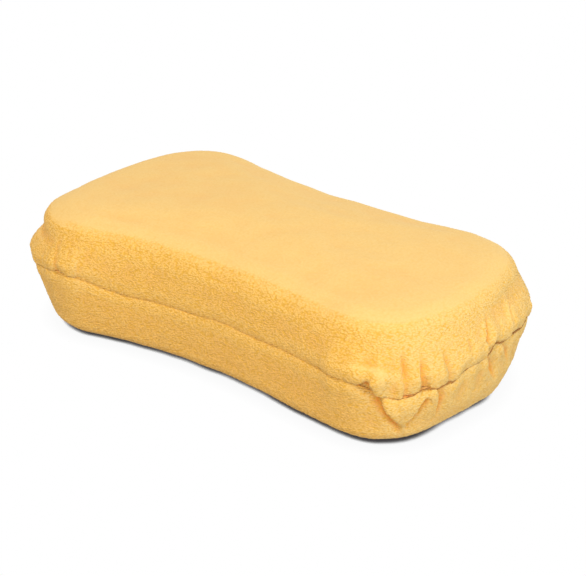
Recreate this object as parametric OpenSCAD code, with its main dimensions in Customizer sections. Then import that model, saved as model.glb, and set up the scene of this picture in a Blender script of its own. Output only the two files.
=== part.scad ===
// Bone-shaped cleaning sponge: a foam block in a cover of two terry cloth panels, sewn together round the middle.
// The long axis lies along X, the resting face is at z = 0, and the origin is under the middle of the base.

/* [Outline] */
// Length over the two swelling ends
length = 230; // [206:1:260]
// Width of the panels across the broadest part of the right end
right_width = 118; // [114:1:132]
// Width of the panels across the broadest part of the left end
left_width = 129; // [114:1:140]
// Width at the waist
waist_width = 108; // [92:1:110]
// How far the waist lies to the right of the middle
waist_shift = 6; // [-8:1:8]
// Radius of the four rounded corners
corner_r = 35; // [28:1:44]
// How far each end bows out between its corners
end_bow = 3; // [2:0.5:10]

/* [Height] */
// Height of the top panel's rim above the resting face
rim_height = 58; // [52:1:68]
// Extra height of the crown at the middle of the top
crown = 4; // [1:0.5:6]
// Height of the sewn seam
seam_height = 29; // [26:0.5:32]

/* [Edges] */
// Inward reach of the rounded top edge
top_round = 17; // [14:1:30]
// Height of the rounded top edge
top_drop = 15.5; // [12:0.5:22]
// Inward reach of the rounded base edge
base_round = 11; // [8:1:20]
// Height of the rounded base edge
base_rise = 9; // [8:0.5:16]
// How far the lower panel leans in between the seam and the base edge
base_lean = 1.5; // [1:0.5:8]
// How far the lower panel stands back from the upper one at the seam
under_step = 0.2; // [0:0.1:2]

/* [Seam] */
// Depth of the groove where the two folded cloth edges meet
seam_dip = 3.5; // [2.5:0.1:5]
// Height over which each folded edge rolls out of the groove
seam_roll = 3.5; // [2.5:0.1:4.5]
// Gap between the two folded edges
seam_gap = 0.3; // [0.2:0.05:0.5]
// How far the seam line rises and falls at the gathered ends
seam_wave = 0.8; // [0:0.1:1.5]
// Diameter of the sewing thread's chain
thread_d = 1.0; // [0.6:0.1:1.4]
// Clearance between the thread's chain and the cloth
thread_gap = 0.3; // [0.2:0.05:0.5]

/* [Swelling] */
// How far the cloth swells out over and under the seam at the ends
end_puff = 5.7; // [0:0.1:6.5]
// Height of the fullest part over the seam
puff_rise = 6; // [5.5:0.5:11]
// Share of the swelling that is left where the seam draws it in
puff_waist = 0.9; // [0.4:0.05:1]
// Height over which the swelling ends above its fullest part
puff_over = 9; // [7:0.5:12]
// Height over which the swelling ends under the seam
puff_under = 18; // [12:0.5:24]

/* [Gathers] */
// Gathers in each quarter of the outline
gathers = 8; // [5:1:9]
// Depth of a gather in the upper panel
upper_gather = 2.2; // [0.5:0.1:2.5]
// Depth of a gather in the lower panel
lower_gather = 1.8; // [0.5:0.1:2.5]
// Depth of the tuck in the lower panel under the front right corner
corner_tuck = 2.6; // [0:0.1:3]
// How far the seam sags over that tuck
corner_sag = 5; // [0:0.5:6]
// How far the seam rises where each corner begins
corner_lift = 4.4; // [0:0.1:5]
// How far the seam rises at the tip of each end
end_lift = 3.5; // [0:0.1:4]
// How much the seam rises towards the right end and falls towards the left end
seam_lean = 0.8; // [0:0.1:2]
// Height over which a gather fades out above the seam
upper_fade = 17; // [10:1:20]
// Height over which a gather fades out below the seam
lower_fade = 14; // [8:1:18]

/* [Cloth and foam] */
// Thickness of the terry cloth
cloth_t = 3.5; // [3:0.1:4.5]
// Clearance between the cloth and the foam
core_gap = 0.3; // [0.2:0.05:0.6]

/* [Hidden] */

// Faces of the shells: columns a gather takes, columns of half a waist, steps of a rolled edge, steps of a rounded
// edge outside and inside, and sides of the thread's chain
gather_cols = 4;
waist_cols = 6;
roll_steps = 3;
edge_steps = 5;
lining_steps = 3;
thread_sides = 4;
// Column of the front right corner's tuck, counted from the right tip
tuck_col = gathers * gather_cols - 2 * gather_cols;
// Fall of the tuck for each column that it runs to the right
tuck_slant = 5;
// Sharpness of the rounded edges, where 2 is a plain ellipse
edge_power = 2;
// Least straight side between a rounded edge and what is next to it
edge_land = 1;
// Height over the seam in which the swelling stays even
puff_land = 2;
// Share of a gather's depth that all gathers have, turn in degrees from the depth of one column to the next, and
// columns by which the left end's pattern is shifted
gather_even = 0.72;
gather_turn = 83;
left_shift = 11;
// Gathers that one wave of the seam takes, and gathers over which the seam sags or rises
wave_gathers = 2.5;
sag_gathers = 0.75;
lift_gathers = 1.5;
// Rings of the crown, as shares of the rim's size
crown_rings = [0.7, 0.36];

// Columns of the outline: those of an end and its corner are shared out by the arcs' rough lengths
corner_part = 0.8;
arc_cols = gathers * gather_cols;
end_share = 0.5 - corner_part * corner_r / (left_width + right_width);
end_cols = 2 * round(arc_cols * end_share / 2);
corner_cols = arc_cols - end_cols;
quarter_cols = arc_cols + waist_cols;
columns = 4 * quarter_cols;

// Points of an arc as [x, y, outward x, outward y]
function arc(cx, cy, r, a0, a1, steps, side) =
    [for (i = [0:steps - 1])
        let (a = a0 + (a1 - a0) * i / steps)
        [cx + r * cos(a), cy + r * sin(a), side * cos(a), side * sin(a)]];

// A quarter of the outline, from the tip of the end to the waist: three arcs, each tangent to the next
function quarter(reach, width) =
    let (
        corner_x = reach - end_bow - corner_r,
        corner_y = width / 2 - corner_r,
        waist_in = (width - waist_width) / 2,
        drop = corner_r - waist_in,
        waist_r = (corner_x * corner_x + drop * drop - corner_r * corner_r) / (2 * waist_in),
        waist_y = waist_r + waist_width / 2,
        end_r = (pow(corner_r + end_bow, 2) - corner_r * corner_r + corner_y * corner_y) / (2 * end_bow),
        end_x = reach - end_r,
        end_turn = atan2(corner_y, corner_x - end_x),
        corner_turn = atan2(waist_y - corner_y, -corner_x))
    concat(
        arc(end_x, 0, end_r, 0, end_turn, end_cols, 1),
        arc(corner_x, corner_y, corner_r, end_turn, corner_turn, corner_cols, 1),
        arc(0, waist_y, waist_r, corner_turn - 180, -90, waist_cols, -1),
        [[0, waist_width / 2, 0, 1]]);
right_quarter = quarter(length / 2 - waist_shift - end_puff, right_width);
left_quarter = quarter(length / 2 + waist_shift - end_puff, left_width);

// A column of the whole outline, counted from the right tip: its place in its quarter, and its two signs
function fold(k) = let (n = quarter_cols)
    k <= n ? k : k <= 2 * n ? 2 * n - k : k <= 3 * n ? k - 2 * n : 4 * n - k;
function sign_x(k) = k > quarter_cols && k < 3 * quarter_cols ? -1 : 1;
function sign_y(k) = k > 2 * quarter_cols ? -1 : 1;
function outline(k) = let (q = sign_x(k) > 0 ? right_quarter[fold(k)] : left_quarter[fold(k)])
    [q[0] * sign_x(k) + waist_shift, q[1] * sign_y(k), q[2] * sign_x(k), q[3] * sign_y(k)];

// Smooth step from 0 to 1
function ease(t) = let (c = min(1, max(0, t))) c * c * (3 - 2 * c);

// The gathers fill the ends and fade out where the waist begins, and no two are of the same depth
function end_window(k) = 1 - ease((fold(k) - arc_cols + 2 * gather_cols) / (2 * gather_cols));
function turn(k) = fold(k) * sign_y(k) + (sign_x(k) < 0 ? left_shift : 0);
function gather_size(k) = gather_even + (1 - gather_even) * sin(turn(k) * gather_turn);
function pinch(k) = end_window(k) * gather_size(k) * (0.5 + 0.5 * cos(360 * fold(k) / gather_cols));

// How near a column is to a place in its quarter, or to one on the front right corner alone, from 0 to 1
function near_all(k, col, spread) = exp(-pow((fold(k) - col) / spread, 2));
function near(k, col, spread) = sign_x(k) > 0 && sign_y(k) < 0 ? near_all(k, col, spread) : 0;

// Rise of the seam line over its mean height
function wave(k) =
    seam_wave * end_window(k) * sin(turn(k) * 360 / (wave_gathers * gather_cols))
    + corner_lift * near_all(k, arc_cols - lift_gathers * gather_cols, lift_gathers * gather_cols)
    + end_lift * near_all(k, 0, lift_gathers * gather_cols)
    - corner_sag * near(k, tuck_col - gather_cols, sag_gathers * gather_cols)
    + seam_lean * outline(k)[0] * 2 / length;

// How far the cloth swells out at a height over or under the seam: in full round the ends, not at all at the waist
function puff_window(k) = 1 - ease((fold(k) - arc_cols + gather_cols) / (gather_cols + waist_cols / 2));
function swell(dz) = dz < 0
    ? puff_waist * (1 - ease(-dz / puff_under))
    : (puff_waist + (1 - puff_waist) * ease((dz - puff_land) / (puff_rise - puff_land)))
        * (1 - ease((dz - puff_rise) / puff_over));
function puff(k, dz) = end_puff * puff_window(k) * swell(dz);

// How deep the cloth is drawn in at a height over or under the seam
function above(dz) = upper_gather * (1 - ease(dz / upper_fade)) * ease((dz + 1) / seam_roll);
function below(dz) = (1 - ease(-dz / lower_fade)) * ease((1 - dz) / seam_roll);
function tuck(k, dz) = corner_tuck * near(k, tuck_col + dz / tuck_slant, gather_cols / 2);
function drawn(k, dz) = dz >= 0
    ? pinch(k) * above(dz)
    : max(pinch(k) * lower_gather, tuck(k, dz)) * below(dz);
function wave_left(dz) = 1 - ease(abs(dz) / upper_fade);

// A point of the cover: column k, distance in from the outline, height
function cover_point(k, inset, z) = let (o = outline(k), dz = z - seam_height,
    reach = puff(k, dz) - inset - drawn(k, dz))
    [o[0] + o[2] * reach, o[1] + o[3] * reach, z + wave(k) * wave_left(dz)];

// Section of the outside, as [inset, height] rows that start at the seam
function rolled(start_in, end_in, height, side) =
    [for (i = [0:roll_steps])
        let (a = 90 * i / roll_steps)
        [start_in + (end_in - start_in) * sin(a),
            seam_height + side * (seam_gap / 2 + height * (1 - cos(a)))]];
function rounded(side_in, reach, z0, z1, steps) =
    [for (i = [1:steps])
        let (a = 90 * i / steps)
        [side_in + reach * (1 - pow(cos(a), 2 / edge_power)),
            z0 + (z1 - z0) * pow(sin(a), 2 / edge_power)]];

// The rounded edges keep clear of the rolled edges of the seam and of the fullest part of the swelling
top_start = max(rim_height - top_drop, seam_height + seam_gap / 2 + seam_roll + edge_land,
    seam_height + puff_rise + edge_land);
base_start = min(base_rise, seam_height - seam_gap / 2 - seam_roll - edge_land);
upper_rows = concat(
    rolled(seam_dip, 0, seam_roll, 1),
    [[0, seam_height + puff_rise]],
    rounded(0, top_round, top_start, rim_height, edge_steps));
lower_rows = concat(
    rolled(seam_dip, under_step, seam_roll, -1),
    [[under_step + base_lean, base_start]],
    rounded(under_step + base_lean, base_round, base_start, 0, edge_steps));

// Section of a lining that lies some way in from the outside: the inner face of the cloth, or the foam
function upper_lining(deep) = concat(
    [[seam_dip + deep, seam_height + seam_gap / 2], [deep, min(seam_height + seam_roll + deep, top_start)]],
    rounded(deep, top_round - deep, top_start, rim_height - deep, lining_steps));
function lower_lining(deep) = concat(
    [[seam_dip + deep, seam_height - seam_gap / 2],
        [under_step + deep, max(seam_height - seam_roll - deep, base_start + edge_land)],
        [under_step + base_lean + deep, base_start]],
    rounded(under_step + base_lean + deep, base_round - deep, base_start, deep, lining_steps));

// Rings of points: the cover's outside has every column, a lining has every second one and no gathers
function cover_ring(row) = [for (k = [0:columns - 1]) cover_point(k, row[0], row[1])];
function lining_ring(row) =
    [for (k = [0:2:columns - 2])
        let (o = outline(k), dz = row[1] - seam_height, reach = puff(k, dz) - row[0])
        [o[0] + o[2] * reach, o[1] + o[3] * reach, row[1] + wave(k) * wave_left(dz)]];
function crown_ring(ring, share, z) = [for (p = ring) [p[0] * share, p[1] * share, z]];
function crown_z(share, rim) = rim + crown * (1 - share * share);
function points_of(rings) = [for (ring = rings) each ring];

// Faces between the rings of n points that start at point number base, seen from outside
function band(n, a, b) =
    [for (i = [0:n - 1])
        let (j = (i + 1) % n)
        each [[a + i, b + j, a + j], [a + i, b + i, b + j]]];
function bands(n, base, rings) =
    [for (r = [0:rings - 2]) each band(n, base + r * n, base + (r + 1) * n)];
function fan(n, a, tip) = [for (i = [0:n - 1]) [a + i, tip, a + (i + 1) % n]];
// Rim between an outer ring at a and an inner ring at b that has half as many points
function rim(n, a, b) =
    [for (i = [0:n - 1])
        let (o = a + 2 * i, m = a + 2 * i + 1, e = a + (2 * i + 2) % (2 * n), p = b + i, q = b + (i + 1) % n)
        each [[o, m, p], [m, q, p], [m, e, q]]];
function flipped(faces) = [for (f = faces) [f[0], f[2], f[1]]];

module upper_cover() {
    out_rings = [for (row = upper_rows) cover_ring(row)];
    rim_ring = out_rings[len(out_rings) - 1];
    crown_out = [for (s = crown_rings) crown_ring(rim_ring, s, crown_z(s, rim_height))];
    in_rings = [for (row = upper_lining(cloth_t)) lining_ring(row)];
    in_rim = in_rings[len(in_rings) - 1];
    crown_in = [for (s = crown_rings) crown_ring(in_rim, s, crown_z(s, rim_height - cloth_t))];
    outs = concat(out_rings, crown_out);
    ins = concat(in_rings, crown_in);
    out_n = columns;
    in_n = columns / 2;
    in_base = out_n * len(outs);
    tips = in_base + in_n * len(ins);
    color([0.97, 0.78, 0.42])
        polyhedron(
            concat(points_of(outs), points_of(ins),
                [[0, 0, crown_z(0, rim_height)], [0, 0, crown_z(0, rim_height - cloth_t)]]),
            concat(
                bands(out_n, 0, len(outs)),
                fan(out_n, out_n * (len(outs) - 1), tips),
                flipped(bands(in_n, in_base, len(ins))),
                flipped(fan(in_n, in_base + in_n * (len(ins) - 1), tips + 1)),
                rim(in_n, 0, in_base)));
}

module lower_cover() {
    outs = [for (row = lower_rows) cover_ring(row)];
    ins = [for (row = lower_lining(cloth_t)) lining_ring(row)];
    out_n = columns;
    in_n = columns / 2;
    in_base = out_n * len(outs);
    tips = in_base + in_n * len(ins);
    color([0.93, 0.72, 0.36])
        polyhedron(
            concat(points_of(outs), points_of(ins), [[0, 0, 0], [0, 0, cloth_t]]),
            concat(
                flipped(bands(out_n, 0, len(outs))),
                flipped(fan(out_n, out_n * (len(outs) - 1), tips)),
                bands(in_n, in_base, len(ins)),
                fan(in_n, in_base + in_n * (len(ins) - 1), tips + 1),
                flipped(rim(in_n, 0, in_base))));
}

// The block's faces are cut along the same diagonals as the linings' faces, so that the clearance is even
module foam_core() {
    deep = cloth_t + core_gap;
    n = columns / 2;
    low = lower_lining(deep);
    high = upper_lining(deep);
    under = [for (i = [len(low) - 1:-1:1]) low[i]];
    over = [for (i = [1:len(high) - 1]) high[i]];
    rings = [for (row = concat(under, [[seam_dip + deep, seam_height]], over)) lining_ring(row)];
    rim_ring = rings[len(rings) - 1];
    crowns = [for (s = crown_rings) crown_ring(rim_ring, s, crown_z(s, rim_height - deep))];
    all_rings = concat(rings, crowns);
    seam_at = len(under);
    tips = n * len(all_rings);
    color([0.96, 0.9, 0.66])
        polyhedron(
            concat(points_of(all_rings), [[0, 0, crown_z(0, rim_height - deep)], [0, 0, deep]]),
            concat(
                [for (r = [0:seam_at - 1]) each flipped(band(n, (r + 1) * n, r * n))],
                bands(n, seam_at * n, len(all_rings) - seam_at),
                fan(n, n * (len(all_rings) - 1), tips),
                flipped(fan(n, 0, tips + 1))));
}

// The chain of stitches lies in the groove, where the two rolled edges are just far enough apart for it
module seam_thread() {
    half = thread_d / 2 + thread_gap;
    lay = seam_dip * (1 - sin(acos(1 - half / seam_roll)));
    rings = [for (s = [0:thread_sides - 1])
        let (a = 90 + 360 * s / thread_sides)
        [for (k = [0:columns - 1])
            let (o = outline(k), reach = thread_d / 2 * sin(a) + puff(k, 0) - lay - drawn(k, 0))
            [o[0] + o[2] * reach, o[1] + o[3] * reach,
                seam_height + wave(k) + thread_d / 2 * cos(a)]]];
    color([0.85, 0.62, 0.3])
        polyhedron(
            points_of(rings),
            [for (s = [0:thread_sides - 1])
                each flipped(band(columns, columns * s, columns * ((s + 1) % thread_sides)))]);
}

upper_cover();
lower_cover();
foam_core();
seam_thread();
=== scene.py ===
"""Looks of a bone-shaped cleaning sponge: a foam block in a cover of two sewn terry cloth panels."""

from math import cos, pi, radians, sin, tau

import bmesh
import bpy
import numpy as np
from mathutils import Matrix, Quaternion, Vector, noise
from mathutils.bvhtree import BVHTree
from mathutils.kdtree import KDTree


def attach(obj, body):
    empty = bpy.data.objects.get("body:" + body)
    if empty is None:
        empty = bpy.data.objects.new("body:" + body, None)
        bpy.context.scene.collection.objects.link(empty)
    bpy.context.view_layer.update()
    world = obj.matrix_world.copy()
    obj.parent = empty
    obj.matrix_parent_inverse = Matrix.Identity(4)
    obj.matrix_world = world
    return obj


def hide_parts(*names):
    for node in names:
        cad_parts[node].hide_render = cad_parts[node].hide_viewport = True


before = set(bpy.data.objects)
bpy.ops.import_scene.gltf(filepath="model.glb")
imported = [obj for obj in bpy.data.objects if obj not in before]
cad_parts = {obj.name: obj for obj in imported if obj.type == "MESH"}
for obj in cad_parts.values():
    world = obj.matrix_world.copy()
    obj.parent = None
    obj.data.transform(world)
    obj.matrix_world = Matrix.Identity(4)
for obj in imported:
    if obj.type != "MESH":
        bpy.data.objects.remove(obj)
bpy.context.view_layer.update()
MM = 0.001

# ---------------------------------------------------------------- foam block
# The block that fills the cover and soaks up the water. It is cut from open-cell polyurethane foam, with its
# corners rounded, and it lies loose in the cover, which holds it on all sides.

FOAM_STEP = 2.4 * MM
FOAM_CELL = 1.6 * MM
FOAM_PORES = 900.0
FOAM_LIGHT = (0.87, 0.74, 0.40)
FOAM_HOLLOW_SHADE = (0.62, 0.44, 0.17)


class Signal:
    """A socket of a material. Arithmetic on it adds Math nodes."""

    def __init__(self, tree, socket):
        self.tree = tree
        self.socket = socket

    def math(self, operation, first, second):
        node = self.tree.nodes.new("ShaderNodeMath")
        node.operation = operation
        for place, value in enumerate((first, second)):
            if isinstance(value, Signal):
                self.tree.links.new(value.socket, node.inputs[place])
            else:
                node.inputs[place].default_value = value
        return Signal(self.tree, node.outputs[0])

    def __add__(self, other):
        return self.math("ADD", self, other)

    __radd__ = __add__

    def __sub__(self, other):
        return self.math("SUBTRACT", self, other)

    def __rsub__(self, other):
        return self.math("SUBTRACT", other, self)

    def __mul__(self, other):
        return self.math("MULTIPLY", self, other)

    __rmul__ = __mul__


class Finish:
    """A material, or the world's light, that is built node by node."""

    def __init__(self, name, owner=None):
        self.block = owner or bpy.data.materials.new(name)
        self.block.use_nodes = True
        self.tree = self.block.node_tree
        self.tree.nodes.clear()

    def add(self, kind, settings=None, sockets=None, out=0):
        """A node with its settings made, and its sockets given values or links."""
        node = self.tree.nodes.new("ShaderNode" + kind)
        for key, value in (settings or {}).items():
            setattr(node, key, value)
        for key, value in (sockets or {}).items():
            if isinstance(value, Signal):
                self.tree.links.new(value.socket, node.inputs[key])
            else:
                node.inputs[key].default_value = value
        return None if out is None else Signal(self.tree, node.outputs[out])

    def mixed(self, share, first, second):
        """Two colours mixed by a share."""
        first, second = (c if isinstance(c, Signal) else (*c, 1) for c in (first, second))
        return self.add("Mix", {"data_type": "RGBA"}, {0: share, 6: first, 7: second}, out=2)

    def close(self, shader, kind="OutputMaterial"):
        """The finished material, with the shader as what it shows."""
        self.add(kind, None, {"Surface": shader}, out=None)
        return self.block


def merged_copy(node, name):
    """A closed copy of a CAD node's triangles as an object of its own."""
    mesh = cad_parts[node].data.copy()
    mesh.name = name
    mesh.materials.clear()
    shell = bmesh.new()
    shell.from_mesh(mesh)
    bmesh.ops.remove_doubles(shell, verts=shell.verts, dist=0.001 * MM)
    shell.to_mesh(mesh)
    shell.free()
    piece = bpy.data.objects.new(name, mesh)
    bpy.context.scene.collection.objects.link(piece)
    return piece


def applied(piece):
    """Turns the piece's modifiers into its mesh."""
    graph = bpy.context.evaluated_depsgraph_get()
    mesh = bpy.data.meshes.new_from_object(piece.evaluated_get(graph))
    piece.modifiers.clear()
    old = piece.data
    piece.data = mesh
    bpy.data.meshes.remove(old)


def even_mesh(piece, size):
    """Gives the piece a mesh of even faces."""
    change = piece.modifiers.new("even mesh", "REMESH")
    change.mode = "VOXEL"
    change.voxel_size = size
    applied(piece)


def surface_of(piece):
    """The piece's surface as a tree in which near places and hits are found."""
    inside = bmesh.new()
    inside.from_mesh(piece.data)
    tree = BVHTree.FromBMesh(inside)
    inside.free()
    return tree


def finished(piece, node, material):
    """The piece is shaded smooth, gets its material and stands for its CAD node."""
    piece.data.materials.clear()
    piece.data.materials.append(material)
    piece.data.polygons.foreach_set("use_smooth", [True] * len(piece.data.polygons))
    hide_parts(node)
    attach(piece, "root")


foam_block = merged_copy("foam_core", "foam_block")
foam_surface = surface_of(foam_block)
even_mesh(foam_block, FOAM_STEP)

foam = Finish("open_cell_foam")
where = foam.add("TexCoord", out=3)
cells = foam.add("TexVoronoi", None, {"Vector": where, "Scale": 1 / FOAM_CELL, "Randomness": 0.9})
pores = foam.add("TexNoise", None, {"Vector": where, "Scale": FOAM_PORES, "Detail": 3.0})
# Painted shade: the hollows of the cells and pores, which the bump sinks, are mixed towards the darker colour
hollow = cells * 0.8 + pores * 0.4
foam_bump = foam.add("Bump", None, {"Strength": 0.8, "Distance": 0.6 * MM, "Height": 1 - hollow})
foam_shade = foam.add(
    "BsdfPrincipled",
    None,
    {
        "Base Color": foam.mixed(hollow, FOAM_LIGHT, FOAM_HOLLOW_SHADE),
        "Roughness": 0.95,
        "Specular IOR Level": 0.2,
        "Normal": foam_bump,
    },
)
finished(foam_block, "foam_core", foam.close(foam_shade))

# ---------------------------------------------------------------- cover
# Two panels of looped terry cloth, an upper and a lower one, cut to the block's outline with room for its
# height. Their edges are turned in and sewn together, and the spare cloth is gathered round the four corners.

CLOTH_STEP = 1.44 * MM
WALL = 3.5 * MM
SOFT_ROUNDS = 10
CALM_ROUNDS = 60

# The seam's line round the sponge (mm), and how far over and under it the cloth follows its rises
SEAM_PARTS = 1300
SEAM_REACH = 11
# Places where the seam is drawn up or down: place on the plan, rise and reach (mm)
SEAM_STEPS = [
    ((-64, -65), 1.8, 9),
    ((-42, -58), -1.3, 12),
    ((10, -53), 1.4, 12),
    ((79, -62), -2.4, 8),
    ((87.3, -59.2), -1.9, 4),
    ((102, -47), -1.3, 4),
    ((108, -37), -1.1, 3.5),
    ((110, -29), -1.1, 3),
    ((112, -18), 0.7, 4),
    ((113.5, -8.5), 0.5, 3.2),
    ((113, -1.5), 2.6, 3.4),
    ((111.5, 19), 2.4, 8),
]

# Creases that the gathers leave: points that run to the seam (mm), depth and breadth at the seam, and how far
# the cloth to the left of the crease stands proud
CREASES = [
    (((107.0, -1.6, 49.6), (109.8, -4.1, 45.5), (113.1, -7.8, 40.1), (113.6, -6.5, 33.5)), 1.5, 1.4, 1.2),
    (((105.8, 20.9, 49.0), (107.8, 20.3, 45.9), (110.4, 16.6, 43.0), (112.8, 14.0, 38.0),
      (112.6, 13.2, 34.0)), 1.6, 1.4, 1.3),
    (((109.0, -19.2, 44.8), (110.5, -19.4, 42.1), (112.0, -19.5, 38.5)), 0.5, 1.1, 0.5),
    (((106.4, -33.4, 43.5), (108.7, -33.8, 38.8), (109.7, -31.2, 31.0)), 0.7, 1.3, 0.8),
    (((101.5, -42.8, 45.0), (103.9, -44.3, 39.5), (104.6, -44.7, 35.7), (103.6, -42.0, 28.8)), 1.0, 1.2, 1.0),
    (((95.5, -47.1, 48.2), (97.5, -49.5, 42.7), (99.6, -50.8, 38.5), (100.8, -51.5, 35.0),
      (100.6, -50.0, 28.0)), 1.2, 1.2, 1.0),
    (((94.9, -42.2, 5.0), (95.8, -47.2, 12.0), (94.6, -50.0, 15.2), (92.2, -52.7, 20.1), (91.0, -54.0, 23.4),
      (90.0, -55.8, 28.0), (88.4, -58.5, 33.0)), 2.2, 1.6, -1.6),
    (((103.6, -31.0, 12.0), (105.3, -32.4, 16.1), (106.7, -33.6, 21.0), (108.1, -36.0, 27.0)), 1.4, 1.4, 0.7),
    (((97.5, -43.0, 7.0), (99.2, -44.4, 12.6), (101.3, -42.5, 17.5), (103.6, -40.6, 23.0)), 1.3, 1.2, 1.0),
    (((109.0, 6.5, 15.0), (113.0, -3.6, 26.0), (113.6, -6.2, 32.0)), 1.5, 1.4, 0.9),
    (((109.6, 17.6, 18.0), (111.8, 11.3, 26.5), (113.0, 6.8, 31.5)), 1.0, 1.2, 0.6),
    (((108.0, 27.6, 17.0), (109.6, 26.9, 23.1), (110.4, 26.0, 29.0)), 1.0, 1.3, 0.6),
    (((-62.6, -64.6, 41.0), (-63.8, -66.4, 33.0)), 0.45, 1.4, 0.35),
    (((-74.4, -66.2, 42.0), (-74.6, -69.2, 34.0)), 0.5, 1.3, 0.4),
    (((-84.4, -64.8, 42.0), (-84.9, -66.8, 33.5)), 0.4, 1.4, 0.3),
]
# In breadths of the crease: how wide its valley is to either side, and where its ridge stands and how wide
# the ridge is
VALLEY_STEEP, VALLEY_GENTLE = 0.8, 2.2
RIDGE_AT, RIDGE_STEEP, RIDGE_GENTLE = 1.7, 0.85, 2.4

# Places where the cloth swells or lies in (mm): middle, direction of the long axis, half length, half height
# and rise
SWELLINGS = [
    ((89.6, -59.6, 36.2), (0.90, 0.43, -0.04), 9.5, 3.2, 2.0),
    ((98.2, -50.0, 20.5), (0.66, 0.72, 0.20), 9.5, 6.0, 1.7),
    ((-99.0, -48.0, 33.5), (-0.42, 0.90, 0.0), 26.0, 7.0, 1.6),
    ((-97.0, -50.0, 44.6), (-0.42, 0.90, 0.0), 24.0, 2.6, -1.0),
    ((-94.0, -49.0, 50.8), (-0.42, 0.90, 0.0), 24.0, 4.0, 1.5),
    ((110.0, 22.0, 46.5), (-0.20, 0.98, 0.0), 24.0, 4.4, -1.4),
    ((107.0, 6.0, 12.0), (0.0, 1.0, 0.0), 26.0, 10.0, 2.6),
    ((94.0, -49.0, 4.0), (0.65, 0.76, 0.0), 14.0, 8.0, 0.5),
    ((107.0, -14.0, 4.0), (0.15, 0.99, 0.0), 17.0, 9.0, -1.2),
    ((-20.0, -50.0, 4.0), (1.0, 0.0, 0.0), 46.0, 9.0, -0.7),
]
SWELLING_DEEP = 14
SWELLING_EDGE = 1.4

# Gathers at the ends (mm): where they begin and are full along the sponge, measured from its waist, how far
# from the seam they reach, and how strong they are at each end where the creases above are added to them
WAIST_AT = 6
GATHERS_BEGIN, GATHERS_FULL = 58, 84
GATHERS_FADE, GATHERS_END = 6, 22
GATHERS_ROUND, GATHERS_ALONG = 17, 34
GATHER_HEIGHT, GATHER_FLOOR = 2.2, 0.55
SMALL_GATHERS, SMALL_PITCH, SMALL_SHIFT = 0.45, 2.1, Vector((3, 7, 1))
RIGHT_SHARE, LEFT_SHARE = 0.22, 0.5
CREASED_TO, PLAIN_FROM = 22, 40
UPPER_FULLNESS, LOWER_FULLNESS = 0.75, 0.6

# The turned-in edges (mm): how far they are pulled together, over what height, and the gap that stays
LIP_PULL, LIP_REACH, LIP_BAND = 1.6, 3.2, 9
LIP_GAP, TIGHT_TO, LOOSE_FROM = 0.035, 70, 98

# The pile's loops (mm), flattened where the cloth lies flat, and the parts of its scrambling of places
LOOP_PITCH, LOOP_HEIGHT, LOOP_JITTER, LOOP_SPREAD = 1.45, 0.38, 0.6, 0.42
SCRAMBLE = (73856093, 19349663, 83492791, 2654435761)
SCRAMBLE_AGAIN = 1274126177


def read(mesh, what):
    """The places or normals of a mesh's points, one row each."""
    flat = np.empty(len(mesh.vertices) * 3, np.float32)
    mesh.vertices.foreach_get(what, flat)
    return flat.reshape(-1, 3).astype(float)


def write(mesh, places):
    """Moves a mesh's points to these places."""
    mesh.vertices.foreach_set("co", places.astype(np.float32).ravel())
    mesh.update()


def ring_mean(points, reach):
    """Running mean along a closed ring."""
    total = np.zeros_like(points)
    for shift in range(-reach, reach + 1):
        total += np.roll(points, shift, axis=0)
    return total / (2 * reach + 1)


def ring_run(points):
    """Distances along a closed ring, from its first point round to it again."""
    closed = np.vstack([points, points[:1]])
    return np.concatenate([[0], np.cumsum(np.linalg.norm(np.diff(closed, axis=0), axis=1))])


def even_ring(points, count):
    """The same closed ring as a count of evenly spaced points."""
    closed = np.vstack([points, points[:1]])
    run = ring_run(points)
    at = np.arange(count) * run[-1] / count
    return np.stack([np.interp(at, run, closed[:, i]) for i in range(3)], axis=1)


def step(value, first, last):
    """Smooth step from 0 at first to 1 at last."""
    share = np.clip((value - first) / (last - first), 0, 1)
    return share * share * (3 - 2 * share)


def hill(value, reach):
    """A round hill, 1 high at 0, that has sunk to a third at its reach."""
    return np.exp(-((value / reach) ** 2))


def noise_field(places, size, seed):
    """Smooth noise from -1 to 1."""
    shift = Vector((seed * 17.3, seed * 5.1, seed * 9.7))
    return np.array([noise.noise(Vector(p) / size + shift) for p in places])


def crease(places, normals, points, depth, breadth, proud):
    """Rise (mm) along one crease: a valley that widens to the seam, with a ridge on one side of it."""
    points = np.array(points)
    runs = np.diff(points, axis=0)
    lengths = np.linalg.norm(runs, axis=1)
    starts = np.concatenate([[0], np.cumsum(lengths)])
    total = starts[-1]
    nearest = np.full(len(places), np.inf)
    side = np.zeros(len(places))
    along = np.zeros(len(places))
    facing = np.zeros(len(places))
    for place, run, length, start in zip(points, runs, lengths, starts):
        run = run / length
        away = places - place
        down = away @ run
        distance = np.linalg.norm(away - np.outer(np.clip(down, 0, length), run), axis=1)
        close = distance < 7 * breadth
        if not close.any():
            continue
        outward = normals[close].mean(axis=0)
        outward /= np.linalg.norm(outward)
        across = np.cross(run, outward)
        across *= np.sign(across @ np.cross(outward, (0, 0, 1)))
        better = distance < nearest
        nearest[better] = distance[better]
        side[better] = (away @ across)[better]
        along[better] = (start + down)[better]
        facing[better] = (normals @ outward)[better]
    share = step(along, -0.5, 0.55 * total) * (1 - step(along - total, 0.5, 3))
    share = share * step(facing, 0.1, 0.4) * (nearest < 8 * breadth)
    wide = breadth * (0.55 + 0.45 * np.clip(along / total, 0, 1))
    toward = side * np.sign(proud) / wide
    past = toward - RIDGE_AT
    valley = hill(toward, np.where(toward > 0, VALLEY_STEEP, VALLEY_GENTLE))
    ridge = hill(past, np.where(past > 0, RIDGE_GENTLE, RIDGE_STEEP))
    return share * (abs(proud) * ridge - depth * valley)


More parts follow.
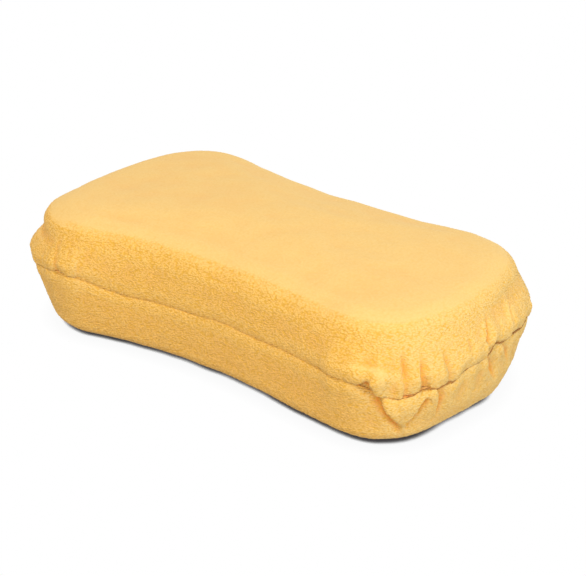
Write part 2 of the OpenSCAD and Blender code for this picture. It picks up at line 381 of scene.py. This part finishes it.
def swelling(places, middle, axis, half_length, half_height, rise):
    """Rise of the cloth (mm) over one oval swelling."""
    away = places - np.array(middle)
    along = np.array(axis) / np.linalg.norm(axis)
    far = away @ along
    up = away[:, 2] - far * along[2]
    rest = np.linalg.norm(away - np.outer(far, along), axis=1)
    deep = np.sqrt(np.maximum(rest**2 - up**2, 0))
    deepest = max(half_height, SWELLING_DEEP)
    size = (far / half_length) ** 2 + (up / half_height) ** 2 + (deep / deepest) ** 4
    return rise * np.exp(-(size**SWELLING_EDGE))


def gathers(turn, over, places, fullness):
    """Rise (mm) where the cloth is gathered at the ends: round folds with narrow valleys between them."""
    ends = step(np.abs(places[:, 0] - WAIST_AT), GATHERS_BEGIN, GATHERS_FULL)
    rise = np.zeros(len(places))
    for index in np.nonzero((ends > 0) & (np.abs(over) < GATHERS_END))[0]:
        angle = turn[index]
        place = Vector((cos(angle) * GATHERS_ROUND, sin(angle) * GATHERS_ROUND, over[index] / GATHERS_ALONG))
        small = abs(noise.noise(place * SMALL_PITCH + SMALL_SHIFT))
        rise[index] = (abs(noise.noise(place)) + SMALL_GATHERS * small) * GATHER_HEIGHT - GATHER_FLOOR
    plain = step(places[:, 1], CREASED_TO, PLAIN_FROM)
    share = np.where(places[:, 0] > 0, RIGHT_SHARE, LEFT_SHARE) * (1 - plain) + plain
    share = share * fullness * ends
    return share * (1 - step(np.abs(over), GATHERS_FADE, GATHERS_END)) * rise


def scrambled(cells, salt):
    """A repeatable value from 0 to 1 for each lattice cell."""
    x, y, z = (cells[:, i] * SCRAMBLE[i] for i in range(3))
    value = x ^ y ^ z ^ (salt * SCRAMBLE[3])
    value = (value ^ (value >> 13)) * SCRAMBLE_AGAIN & 0xFFFFFFFF
    value = (value ^ (value >> 16)) & 0xFFFFFF
    return value / 0xFFFFFF


def loops(places):
    """Height from 0 to 1 of the cloth's loops, which stand in uneven rows."""
    scaled = places / LOOP_PITCH
    corner = np.floor(scaled).astype(np.int64)
    nearest = np.full(len(places), np.inf)
    for neighbour in np.ndindex(3, 3, 3):
        cell = corner + np.array(neighbour) - 1
        off = np.stack([scrambled(cell, salt) for salt in (1, 2, 3)], axis=1) - 0.5
        middle = cell + 0.5 + LOOP_JITTER * off
        nearest = np.minimum(nearest, ((scaled - middle) ** 2).sum(axis=1))
    return np.clip(1 - nearest / LOOP_SPREAD, 0, 1)


seam_points = np.unique(np.round(read(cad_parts["seam_thread"].data, "co") / MM, 4), axis=0)
seam_points = seam_points[np.argsort(np.arctan2(seam_points[:, 1], seam_points[:, 0]))]
seam_line = even_ring(ring_mean(seam_points, 2), SEAM_PARTS)
sewn_at = seam_line[:, 2].copy()
for (x, y), rise, reach in SEAM_STEPS:
    away = (seam_line[:, 0] - x) ** 2 + (seam_line[:, 1] - y) ** 2
    seam_line[:, 2] += rise * np.exp(-away / reach**2)
seam_rise = seam_line[:, 2] - sewn_at
seam_plan = KDTree(SEAM_PARTS)
for index, point in enumerate(seam_line):
    seam_plan.insert((point[0], point[1], 0), index)
seam_plan.balance()


def cloth_shell(node, name):
    """The panel's shell in even faces, finer and smoothed outside, and how far outside each point is."""
    piece = merged_copy(node, name)
    even_mesh(piece, CLOTH_STEP)
    cloth = bmesh.new()
    cloth.from_mesh(piece.data)
    outside = {v for v in cloth.verts if foam_surface.find_nearest(v.co)[3] > 0.62 * WALL}
    fine = [e for e in cloth.edges if e.verts[0] in outside and e.verts[1] in outside]
    bmesh.ops.subdivide_edges(cloth, edges=fine, cuts=1, use_grid_fill=True)
    cloth.to_mesh(piece.data)
    cloth.free()
    far = np.array([foam_surface.find_nearest(Vector(p))[3] for p in read(piece.data, "co")])
    weight = np.clip((far / WALL - 0.3) / 0.4, 0, 1)
    group = piece.vertex_groups.new(name="outside")
    for index in np.nonzero(weight > 0.02)[0]:
        group.add([int(index)], float(weight[index]), "REPLACE")
    soft = piece.modifiers.new("soft cloth", "SMOOTH")
    soft.factor = 0.5
    soft.iterations = SOFT_ROUNDS
    soft.vertex_group = "outside"
    applied(piece)
    piece.vertex_groups.clear()
    return piece, weight


def calm_places(piece):
    """Where the piece's points would lie (mm) if its folds were smoothed away."""
    calm = piece.copy()
    calm.data = piece.data.copy()
    bpy.context.scene.collection.objects.link(calm)
    ease = calm.modifiers.new("calm", "SMOOTH")
    ease.factor = 0.5
    ease.iterations = CALM_ROUNDS
    applied(calm)
    places = read(calm.data, "co") / MM
    bpy.data.objects.remove(calm)
    return places


def terry_panel(node, name, side):
    """One panel of the cover, the upper one on side 1 and the lower one on side -1 of the seam."""
    piece, weight = cloth_shell(node, name)
    places = read(piece.data, "co") / MM
    normals = read(piece.data, "normal")
    nearby = np.array([seam_plan.find((p[0], p[1], 0))[1] for p in places])

    # The cloth follows the seam's rises, and swells and folds where it is gathered
    over = places[:, 2] - sewn_at[nearby]
    places[:, 2] += seam_rise[nearby] * hill(over, SEAM_REACH) * weight
    over = places[:, 2] - seam_line[nearby, 2]
    rise = 0.55 * noise_field(places, 26, 3) + 0.3 * noise_field(places, 11, 5)
    fullness = UPPER_FULLNESS if side > 0 else LOWER_FULLNESS
    rise += gathers(nearby / SEAM_PARTS * tau, over, places, fullness)
    for values in CREASES:
        rise += crease(places, normals, *values)
    for values in SWELLINGS:
        rise += swelling(places, *values)
    places += normals * (rise * weight)[:, None]

    # The turned-in edges lie against each other, so that only a thin line shows
    over = places[:, 2] - seam_line[nearby, 2]
    parting = LIP_GAP * (0.3 + step(places[:, 0], TIGHT_TO, LOOSE_FROM))
    parting = parting * (1 + 1.3 * noise_field(places, 3, 11))
    closed = np.maximum(side * over - LIP_PULL * hill(over, LIP_REACH), parting)
    near_seam = (np.abs(over) < LIP_BAND) & (weight > 0.3)
    places[near_seam, 2] = (seam_line[nearby, 2] + side * closed)[near_seam]
    write(piece.data, places * MM)

    # What the cloth's colour follows: how deep a point lies in a fold or close to the seam, painted deeper
    # orange there as painted shade, and where it faces up, down or to the right, painted paler there as painted
    # light
    normals = read(piece.data, "normal")
    fold = ((calm_places(piece) - places) * normals).sum(axis=1) + 0.9 * hill(over, 0.9)
    # Faces that look up or down, and with them those that look to the right, are painted paler as painted light
    flat = step(np.abs(normals[:, 2]), 0.61, 0.91)
    painted_light = np.maximum(flat, 0.9 * step(normals[:, 0], 0.1, 0.75))
    loop = loops(places)

    # The pile stands on the panel, and the base lies flat on what the sponge rests on
    shape = LOOP_HEIGHT * (1 - 0.55 * flat) * (loop - 0.5) * step(np.abs(over), 0.2, 2.0)
    places += normals * (shape * weight)[:, None]
    if side < 0:
        places[:, 2] = np.maximum(places[:, 2], 0)
    write(piece.data, places * MM)
    for key, values in (("loop", loop), ("fold", np.clip(fold / 1.2, -1, 1)), ("flat", flat), ("painted_light", painted_light)):
        kept = piece.data.attributes.new(key, "FLOAT", "POINT")
        kept.data.foreach_set("value", values.astype(np.float32))
    return piece


TERRY_LIGHT = (0.980, 0.590, 0.165)
TERRY_CREASE_SHADE = (0.910, 0.330, 0.050)
TERRY_PAINTED_LIGHT = (0.885, 0.586, 0.215)
TERRY_SHADE = (0.800, 0.425, 0.058)
CLOUDS, MOTTLES, YARNS, FLUFF = 26.0, 300.0, 960.0, 2600.0

terry = Finish("looped_terry_cloth")
where = terry.add("TexCoord", out=3)
loop_high = terry.add("Attribute", {"attribute_name": "loop"}, out=2)
crease_depth = terry.add("Attribute", {"attribute_name": "fold"}, out=2)
top_or_bottom_share = terry.add("Attribute", {"attribute_name": "flat"}, out=2)
painted_light_share = terry.add("Attribute", {"attribute_name": "painted_light"}, out=2)
cloudy = terry.add("TexNoise", None, {"Vector": where, "Scale": CLOUDS, "Detail": 2.0})
mottled = terry.add("TexNoise", None, {"Vector": where, "Scale": MOTTLES, "Detail": 2.0})
rows = terry.add("Mapping", None, {"Vector": where, "Scale": (0.9, 0.9, 1.8)})
yarn = terry.add("TexVoronoi", None, {"Vector": rows, "Scale": YARNS, "Randomness": 0.95})
fluff = terry.add("TexNoise", None, {"Vector": where, "Scale": FLUFF, "Detail": 2.0})
# Lower where the cloth faces up, down or to the right: the pile's bumps are lower there, and less painted shade
# darkens the colour
standing_and_shaded = 1 - 0.3 * painted_light_share - 0.56 * top_or_bottom_share
# Painted shade: creases, the seam's lips and, a little, the sides are mixed towards the deep orange, with
# cloudy random tone
crease_shade = terry.add("Clamp", None, {"Value": 0.04 + standing_and_shaded * 0.08 + crease_depth * 1.6 + (cloudy - 0.5) * 0.35})
# Painted shade in part: the grain darkens the pits between the yarn's bumps and between the loops, with random
# mottling
grain_and_pit_shade = ((mottled - 0.5) * 0.3 + (yarn - 0.42) * 2.3 - (loop_high - 0.4) * 0.15 + 0.22) * standing_and_shaded + 0.08
shaded = terry.add("Clamp", None, {"Value": grain_and_pit_shade})
# Painted light: faces that look up, down or to the right are mixed towards a paler colour
plain = terry.mixed(painted_light_share, TERRY_LIGHT, TERRY_PAINTED_LIGHT)
colour = terry.mixed(shaded, terry.mixed(crease_shade, plain, TERRY_CREASE_SHADE), TERRY_SHADE)
height = (1 - yarn) * 0.8 + fluff * 0.4
terry_bump = terry.add("Bump", None, {"Strength": 1.0, "Distance": 0.6 * MM, "Height": height * standing_and_shaded})
terry_shade = terry.add(
    "BsdfPrincipled",
    None,
    {
        "Base Color": colour,
        "Roughness": 0.92,
        "Specular IOR Level": 0.25,
        "Sheen Weight": 0.25,
        "Sheen Roughness": 0.45,
        "Sheen Tint": (1.0, 0.85, 0.55, 1),
        "Normal": terry_bump,
    },
)
terry_cloth = terry.close(terry_shade)

panel_surfaces = []
for node, name, side in (("lower_cover", "lower_panel", -1), ("upper_cover", "upper_panel", 1)):
    panel = terry_panel(node, name, side)
    panel_surfaces.append(surface_of(panel))
    finished(panel, node, terry_cloth)

# ---------------------------------------------------------------- seam
# One thread joins the two panels all round, a row of short, slightly slanted stitches that show at the mouth
# of the groove between their turned-in edges. Their colour is painted darker at the right end, as painted shade
# where the edges gape a little.

STITCH = 2.9
STITCH_R = 0.34
STITCH_LONG = 0.56
STITCH_SLANT = radians(-9)
GROOVE_HALF = 0.26
GROOVE_DEEPEST = 6
SEEN_FROM = 15
THREAD_LIGHT = (0.82, 0.47, 0.09)
THREAD_DARK = (0.62, 0.32, 0.05)
THREAD_GAPE_SHADE = (0.40, 0.17, 0.03)
END_FROM, END_TO = 0.090, 0.103

count = int(round(ring_run(seam_line)[-1] / STITCH))
line = even_ring(seam_line, count)
out_to = np.zeros(count)
outward = np.zeros((count, 3))
for index in range(count):
    ahead = line[(index + 1) % count] - line[index - 1]
    outward[index] = np.array([ahead[1], -ahead[0], 0]) / np.hypot(ahead[0], ahead[1])
    found = []
    for side, surface in zip((-1, 1), panel_surfaces):
        start = Vector(line[index] + outward[index] * SEEN_FROM + np.array([0, 0, side * GROOVE_HALF])) * MM
        hit = surface.ray_cast(start, Vector(-outward[index]))[3]
        found.append(SEEN_FROM - hit / MM if hit else 0)
    out_to[index] = np.clip(min(found), 0, GROOVE_DEEPEST)
out_to = np.convolve(np.concatenate([out_to[-2:], out_to, out_to[:2]]), np.ones(5) / 5, "valid")
line = line + outward * (out_to - 0.1)[:, None]

stitches = bmesh.new()
stitch_size = Matrix.Diagonal((STITCH_LONG * STITCH * MM, STITCH_R * MM, STITCH_R * MM, 1))
for index in range(count):
    ahead = (Vector(line[(index + 1) % count]) - Vector(line[index - 1])).normalized()
    turn = ahead.to_track_quat("X", "Z") @ Quaternion((0, 1, 0), STITCH_SLANT)
    laid = Matrix.Translation(Vector(line[index]) * MM) @ turn.to_matrix().to_4x4()
    lying = laid @ stitch_size @ Matrix.Rotation(pi / 2, 4, "Y")
    bmesh.ops.create_uvsphere(stitches, u_segments=8, v_segments=6, radius=1, matrix=lying)
stitch_mesh = bpy.data.meshes.new("seam_stitches")
stitches.to_mesh(stitch_mesh)
stitches.free()
seam_stitches = bpy.data.objects.new("seam_stitches", stitch_mesh)
bpy.context.scene.collection.objects.link(seam_stitches)


def ramp(finish, value, first, last):
    """A smooth ramp of a material's value, from 0 at first to 1 at last."""
    ends = {"Value": value, "From Min": first, "From Max": last, "To Min": 0.0, "To Max": 1.0}
    return finish.add("MapRange", {"interpolation_type": "SMOOTHSTEP"}, ends)


thread = Finish("spun_thread")
where = thread.add("TexCoord", out=3)
twist = {"Vector": where, "Scale": 900.0, "Distortion": 2.0}
plies = thread.add("TexWave", {"bands_direction": "DIAGONAL"}, twist)
twist_bump = thread.add("Bump", None, {"Strength": 0.5, "Distance": 0.1 * MM, "Height": plies})
# Painted shade: the thread is mixed towards a darker colour at the right end, where the edges gape
at_end = ramp(thread, thread.add("SeparateXYZ", None, {"Vector": where}), END_FROM, END_TO)
spun = thread.mixed(at_end, thread.mixed(plies, THREAD_DARK, THREAD_LIGHT), THREAD_GAPE_SHADE)
spun_shade = thread.add("BsdfPrincipled", None, {"Base Color": spun, "Roughness": 0.8, "Normal": twist_bump})
finished(seam_stitches, "seam_thread", thread.close(spun_shade))

# ---------------------------------------------------------------- studio
# A plain white floor, three soft lamps and the camera. The floor shows white to the camera and keeps the
# narrow shadow where the sponge rests, which is a little wider at the right end.

SHADOW_REACH = 2.4 * MM
END_SHADOW_REACH = 3.0 * MM
WIDE_SHADOW_REACH = 9 * MM
END_SHADOW_FROM, END_SHADOW_TO = 0.070, 0.100
SHADOW_FULL, SHADOW_GONE = 0.25, 0.80
SHADOW_DARK = (0.055, 0.05, 0.05)
FLOOR_WHITE = (1.0, 1.0, 1.0)
FLOOR_BOUNCE = (0.60, 0.60, 0.60, 1)
AMBIENT = (1.0, 0.98, 0.94, 1)
AMBIENT_LEVEL = 0.67

floor_shape = bmesh.new()
bmesh.ops.create_grid(floor_shape, x_segments=1, y_segments=1, size=6)
floor_mesh = bpy.data.meshes.new("floor")
floor_shape.to_mesh(floor_mesh)
floor_shape.free()
floor = bpy.data.objects.new("floor", floor_mesh)
bpy.context.scene.collection.objects.link(floor)


def seen_rays(finish):
    """1 for what the camera sees straight, in a gloss or through something, and 0 for light on its way."""
    camera_ray, glossy_ray, clear_ray = (finish.add("LightPath", out=place) for place in (0, 3, 6))
    return finish.add("Clamp", None, {"Value": camera_ray + glossy_ray + clear_ray})


paper = Finish("white_floor")


def openness(reach):
    """How open the floor lies to the room, 0 close under the sponge and 1 beyond the reach."""
    return paper.add("AmbientOcclusion", {"samples": 12}, {"Distance": reach}, out=1)


along = paper.add("SeparateXYZ", None, {"Vector": paper.add("TexCoord", out=3)})
at_end = ramp(paper, along, END_SHADOW_FROM, END_SHADOW_TO)
close = openness(SHADOW_REACH) * (1 - at_end) + (openness(END_SHADOW_REACH) - 0.04) * at_end
tone = ramp(paper, close, SHADOW_FULL, SHADOW_GONE) * (openness(WIDE_SHADOW_REACH) * 0.08 + 0.92)
shown = paper.add("Emission", None, {"Color": paper.mixed(tone, SHADOW_DARK, FLOOR_WHITE), "Strength": 1.0})
bounce = paper.add("BsdfDiffuse", None, {"Color": FLOOR_BOUNCE})
floor_shade = paper.add("MixShader", None, {0: seen_rays(paper), 1: bounce, 2: shown})
floor_mesh.materials.append(paper.close(floor_shade))

world = bpy.data.worlds.new("studio")
bpy.context.scene.world = world
room = Finish("studio", world)
ambient = room.add("Background", None, {"Color": AMBIENT, "Strength": AMBIENT_LEVEL})
white = room.add("Background", None, {"Color": (1, 1, 1, 1), "Strength": 1.0})
room.close(room.add("MixShader", None, {0: seen_rays(room), 1: ambient, 2: white}), "OutputWorld")

LAMP_SIZE = 0.6
LAMP_AIM = Vector((0, 0, 0.03))


def soft_lamp(name, place, watts, colour):
    """A round softbox that faces the sponge."""
    data = bpy.data.lights.new(name, "AREA")
    data.shape = "DISK"
    data.size = LAMP_SIZE
    data.energy = watts
    data.color = colour
    lamp = bpy.data.objects.new(name, data)
    lamp.location = place
    lamp.rotation_euler = (LAMP_AIM - Vector(place)).to_track_quat("-Z", "Y").to_euler()
    bpy.context.scene.collection.objects.link(lamp)


soft_lamp("front_softbox", (0.45, -0.90, 0.88), 9.5, (1.0, 0.97, 0.89))
soft_lamp("right_softbox", (1.15, 0.00, 0.28), 4.4, (0.68, 0.87, 1.0))
soft_lamp("back_softbox", (-0.70, 0.90, 0.50), 1.6, (1.0, 0.97, 0.92))

# The camera's place and lens as fitted to the photograph's frame, in pixels of it where they aren't lengths
AZIMUTH, ELEVATION, ROLL = radians(36.08), radians(25.85), radians(2.24)
TARGET = Vector((0, 0, 26.68 * MM))
DISTANCE = 609.8 * MM
FOCAL = 1323.46
WIDE, TALL = 586, 576
CENTRE = (277.86, 283.08)

back = Vector((sin(AZIMUTH) * cos(ELEVATION), -cos(AZIMUTH) * cos(ELEVATION), sin(ELEVATION)))
lens = bpy.data.cameras.new("camera")
lens.sensor_width = 36
lens.lens = FOCAL / WIDE * lens.sensor_width
lens.shift_x = (WIDE / 2 - CENTRE[0]) / WIDE
lens.shift_y = (CENTRE[1] - TALL / 2) / WIDE
lens.clip_start = 0.01
camera = bpy.data.objects.new("camera", lens)
camera.location = TARGET + back * DISTANCE
camera.rotation_mode = "QUATERNION"
camera.rotation_quaternion = (-back).to_track_quat("-Z", "Y") @ Quaternion((0, 0, 1), ROLL)
bpy.context.scene.collection.objects.link(camera)
bpy.context.scene.camera = camera
bpy.context.scene.view_settings.view_transform = "Standard"
